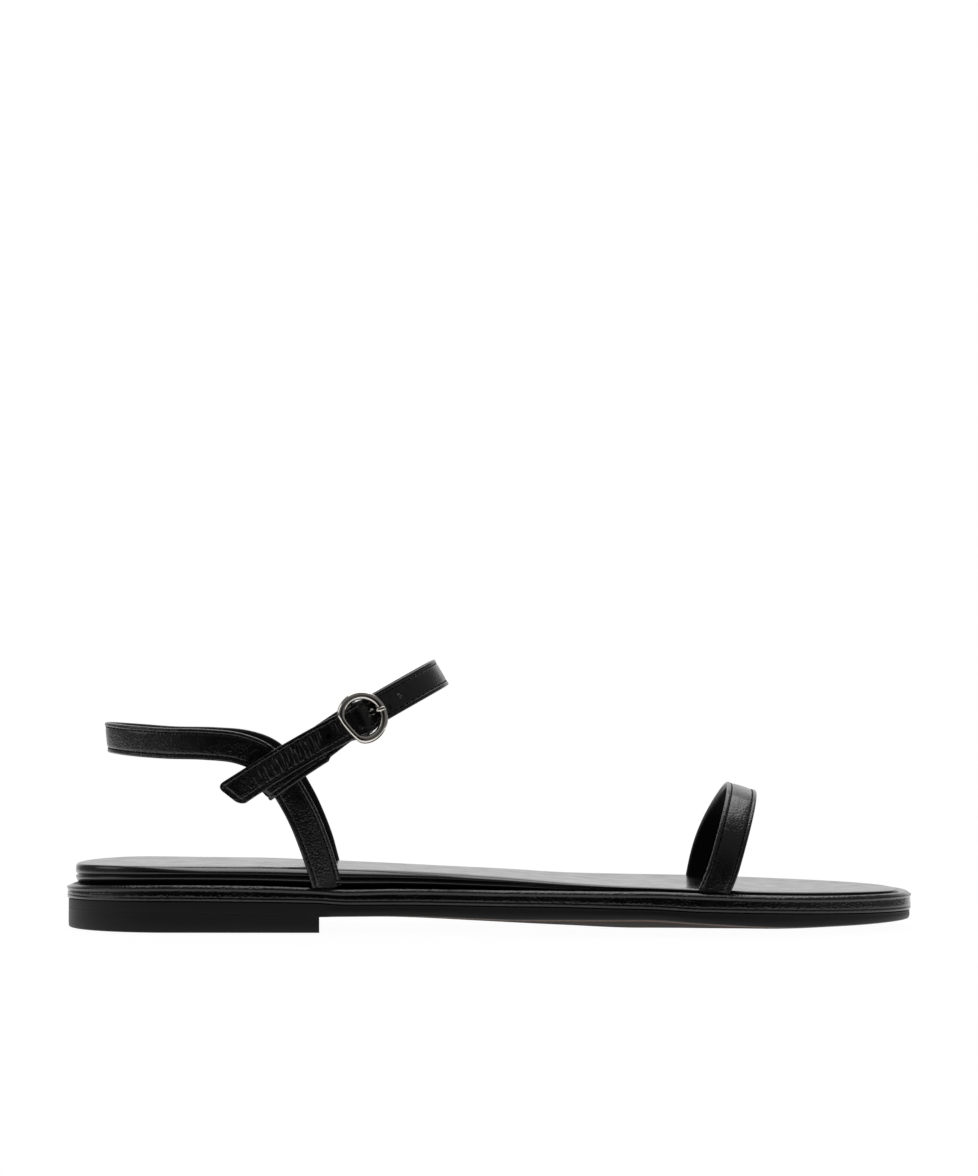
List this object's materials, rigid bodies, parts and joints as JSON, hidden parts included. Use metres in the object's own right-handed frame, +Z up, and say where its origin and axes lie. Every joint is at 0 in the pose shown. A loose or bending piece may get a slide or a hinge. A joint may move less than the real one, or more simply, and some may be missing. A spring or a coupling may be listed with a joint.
{
  "type": "flat ankle-strap sandal",
  "caption": "Flat leather sandal with a padded footbed in a rimmed sole, a toe band, a heel sling and a buckled ankle strap. It stands empty on its sole.",
  "frame": {"origin": "on the floor under the middle of the sole's length and breadth", "axes": "+X towards the toe, +Y towards the inner side of the foot, +Z up"},
  "size_m": [0.254, 0.086, 0.08],
  "materials": {
    "heel": "satin black",
    "outsole": "satin black edge, tan tread",
    "rim_leather": "fine-grained, semi-gloss",
    "footbed_leather": "smooth, glossy",
    "strap_leather": "fine-grained, semi-gloss",
    "buckle_metal": "polished"
  },
  "bodies": {
    "root": {"heel": "heel", "outsole": "outsole", "midsole": "rim_leather", "footbed": "footbed_leather", "toe_strap": "strap_leather", "heel_strap": "strap_leather", "ankle_strap": "strap_leather", "buckle_tab": "strap_leather", "buckle_frame": "buckle_metal", "buckle_prong": "buckle_metal"}
  },
  "joints": []
}
